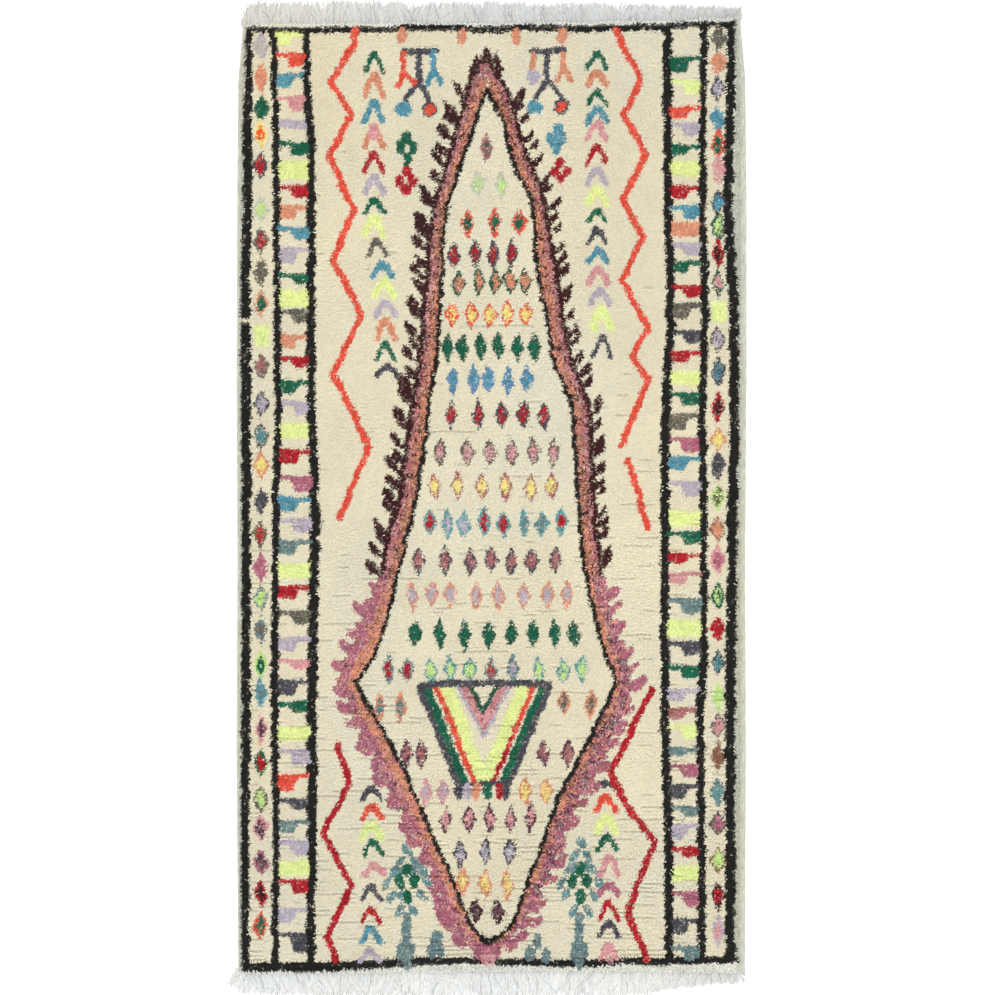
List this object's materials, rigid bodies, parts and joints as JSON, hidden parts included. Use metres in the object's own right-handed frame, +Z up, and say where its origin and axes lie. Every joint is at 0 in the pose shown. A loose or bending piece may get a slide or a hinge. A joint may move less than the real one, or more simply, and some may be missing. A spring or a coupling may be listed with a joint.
{
  "type": "tulu rug",
  "caption": "Long-piled hand-knotted wool rug lying flat, with woven selvedges and a white fringe at each end.",
  "frame": {"origin": "centre of the rug on its underside, where it lies on the floor", "axes": "+Y along the rug's length, +X across it, +Z up out of the pile"},
  "size_m": [1.5483, 2.9502, 0.0204],
  "materials": {
    "pile_wool": "matte long wool pile, cream with dyed figures",
    "fringe_wool": "matte white wool yarn"
  },
  "bodies": {
    "root": {"rug_body": "pile_wool", "fringe_top": "fringe_wool", "fringe_bottom": "fringe_wool"}
  },
  "joints": []
}
